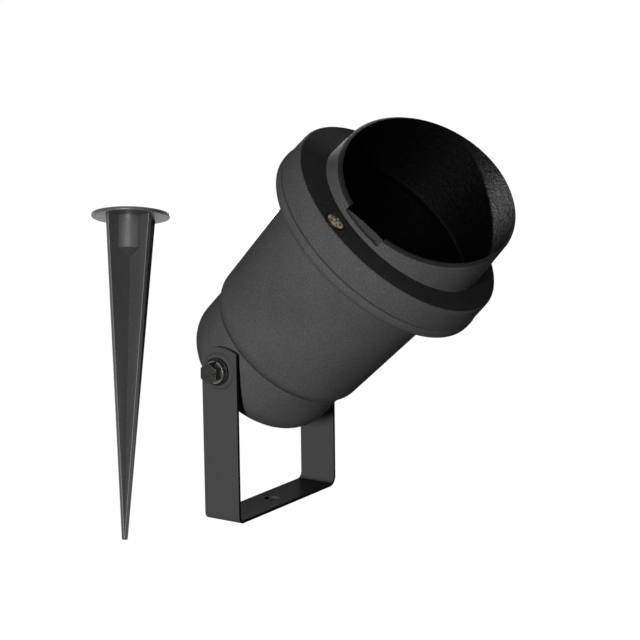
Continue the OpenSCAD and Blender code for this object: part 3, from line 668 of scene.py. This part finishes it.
# Painted shade: faces along the axis above the bezel, such as the rim's cut end, take the black third
# material; those below take the lacquer.
for face in hood.faces:
    height = face.calc_center_median().z
    if abs(face.normal.z) > 0.4:
        face.material_index = 2 if height > ring_root * mm else 1
        if ring_root * mm < height < (notch_floor + 1.6) * mm:
            face.material_index = 0
outer_edges(hood, lambda v: abs(off_wall(v)) < 0.03 * mm and -3 * mm < past_rim(v) < -0.5 * mm)
bmesh.ops.translate(hood, verts=hood.verts, vec=hood_shift)
place(hood, bezel_turn)
rim_painted_highlight = powder_coat("painted_highlight_on_rim", "#808080", "#b0b0b0", 0.6, 0.2, 0.35)
hood_piece = make_piece(hood, "glare_hood_casting", "head",
                        [coat, lacquer_with_painted_shade, black_painted_shade, rim_painted_highlight], "glare_hood")
round_edges(hood_piece, 0.35, 2, 40, 3, "WEIGHT")

# Lens
# A flat disc of toughened glass with ground edges, between two flat rubber rings. It sits in the
# hood's shade and shows black in the photograph, so its sheen is kept low.
lens_r, lens_back, lens_front = 60.3, 118.8, 122.8
smear_mm = 40
lens = turned([(0, lens_back), (lens_r, lens_back), (lens_r, lens_front), (0, lens_front)], 144)
soften(lens, [(lens_r, lens_back), (lens_r, lens_front)], 0.5, 2)
place(lens, head_turn)
glass, tree = new_material("toughened_float_glass")
at = add(tree, "ShaderNodeTexCoord")
smear = add(tree, "ShaderNodeTexNoise", {"Vector": at.outputs["Object"]},
            {"Scale": 1000 / smear_mm, "Detail": 3.0})
rough = add(tree, "ShaderNodeMapRange", {0: smear.outputs[0]}, {3: 0.0, 4: 0.06})
shader = add(tree, "ShaderNodeBsdfPrincipled", {"Roughness": rough.outputs[0]},
             {"Base Color": linear("#7d8583"), "IOR": 1.3, "Transmission Weight": 1.0,
              "Specular IOR Level": 0.02})
add(tree, "ShaderNodeOutputMaterial", {0: shader.outputs[0]})
make_piece(lens, "lens_disc", "head", [glass], "lens")

# Cable grommet
# A moulded rubber bush in the inlet at the back of the cover, with a groove that grips its wall.
# It is a push fit, and its bore takes a round cord of 6 mm.
bush_bore_r, bush_r, groove_r = 3.2, 8.1, 5.5
bush_back, groove_back, groove_front, bush_front = -25.7, -23.7, -20.7, -18.7
grommet = turned([(bush_bore_r, bush_back), (bush_r, bush_back), (bush_r, groove_back),
                  (groove_r, groove_back), (groove_r, groove_front), (bush_r, groove_front),
                  (bush_r, bush_front), (bush_bore_r, bush_front)], 64)
soften(grommet, [(bush_r, bush_back), (bush_r, bush_front)], 0.9, 4)
place(grommet, head_turn)
make_piece(grommet, "inlet_grommet", "head", [black_rubber], "cable_grommet")

# Lamp holder, bracket and small screws
# Behind the lens a glazed porcelain holder with a rolled brass shell stands on a steel bracket.
# They show only with the front off, and keep the solids' own shapes.
bright_zinc = plated("bright_zinc_on_steel", "#8e8e8b", "#b0b0ac", 0.3)
dress(bright_zinc, "rear_cover_screws", "socket_bracket", "bracket_screws", "holder_screws")
dress(plated("rolled_brass", "#a5823f", "#c29a50", 0.28), "screw_shell", "centre_contact")
dress(plated("green_passivated_steel", "#1f5c33", "#2c7a45", 0.4), "ground_screw")
glaze_mm = 6
porcelain, tree = new_material("glazed_porcelain")
at = add(tree, "ShaderNodeTexCoord")
fleck = add(tree, "ShaderNodeTexNoise", {"Vector": at.outputs["Object"]},
            {"Scale": 1000 / glaze_mm, "Detail": 3.0})
tint = add(tree, "ShaderNodeMix", {0: fleck.outputs[0]},
           {6: linear("#e4e1d8"), 7: linear("#efece4")}, data_type="RGBA")
shader = add(tree, "ShaderNodeBsdfPrincipled", {"Base Color": tint.outputs[2]},
             {"Roughness": 0.18, "Coat Weight": 0.4, "Coat Roughness": 0.05})
add(tree, "ShaderNodeOutputMaterial", {0: shader.outputs[0]})
dress(porcelain, "lampholder")

# Ground stake
# One moulding in black polypropylene: four tapering ribs, a disc that the yoke stands on, and a boss
# with a cone under it round the threaded socket. Spark-finish skin, with a painted highlight along the
# ribs' edges.
tip_x, tip_y, tip_lift = -113.8, 25.6, 1.2
lean, heading, spread_turn = math.radians(18.4), math.radians(31), math.radians(48)
rib_reach, rib_t, rib_top = 18.2, 2.4, 191.6
tip_half_w, tip_flat_half_w, tip_h, tip_flat_h = 1.4, 0.9, 1.5, 0.4
boss_r, boss_tip_r, boss_tip, boss_cone_top, boss_top = 10.2, 0.9, 166.8, 172.1, 192.0
disc_r, disc_top, socket_r, socket_floor = 23.45, 193.8, 4.1, 177.8
socket_drill = 20
stake_turn = (Matrix.Translation((tip_x * mm, tip_y * mm, tip_lift * math.sin(lean) * mm))
              @ Matrix.Rotation(heading, 4, "Z") @ Matrix.Rotation(lean, 4, "Y")
              @ Matrix.Rotation(spread_turn, 4, "Z"))
stake = None
for quarter in (0, 1):
    rib = bmesh.new()
    outline = [(-rib_reach, rib_top), (-tip_half_w, tip_h), (-tip_flat_half_w, tip_flat_h),
               (tip_flat_half_w, tip_flat_h), (tip_half_w, tip_h), (rib_reach, rib_top)]
    rib.faces.new([rib.verts.new((x * mm, -rib_t / 2 * mm, z * mm)) for x, z in outline])
    pushed = bmesh.ops.extrude_face_region(rib, geom=rib.faces[:])
    bmesh.ops.translate(rib, verts=[v for v in pushed["geom"] if isinstance(v, bmesh.types.BMVert)],
                        vec=(0, rib_t * mm, 0))
    place(rib, Matrix.Rotation(quarter * math.pi / 2, 4, "Z"))
    stake = rib if stake is None else carve(stake, rib, "UNION")
boss = turned([(0, boss_tip), (boss_tip_r, boss_tip), (boss_r, boss_cone_top), (boss_r, boss_top),
               (0, boss_top)], 72)
stake = carve(stake, boss, "UNION")
disc = turned([(0, rib_top), (disc_r, rib_top), (disc_r, disc_top), (0, disc_top)], 144)
soften(disc, [(disc_r, rib_top), (disc_r, disc_top)], 0.6, 3)
stake = carve(stake, disc, "UNION")
socket = rod(socket_r, socket_drill)
place(socket, Matrix.Translation((0, 0, socket_floor * mm)))
stake = carve(stake, socket)
outer_edges(stake, lambda v: v.co.xy.length > 1.75 * mm and v.co.z < (rib_top + 0.1) * mm, 100)
place(stake, stake_turn)
stake_black = powder_coat("black_polypropylene_spark_finish", "#343434", "#464646", 0.36, 0.6, 1.0)
ribs_painted_highlight = powder_coat("painted_highlight_on_rib_edges", "#7c7c7c", "#949494", 0.45, 0.4, 0.4)
stake_piece = make_piece(stake, "moulded_stake", "stake", [stake_black, ribs_painted_highlight],
                         "ground_stake")
round_edges(stake_piece, 0.25, 2, 50, 1, "WEIGHT")
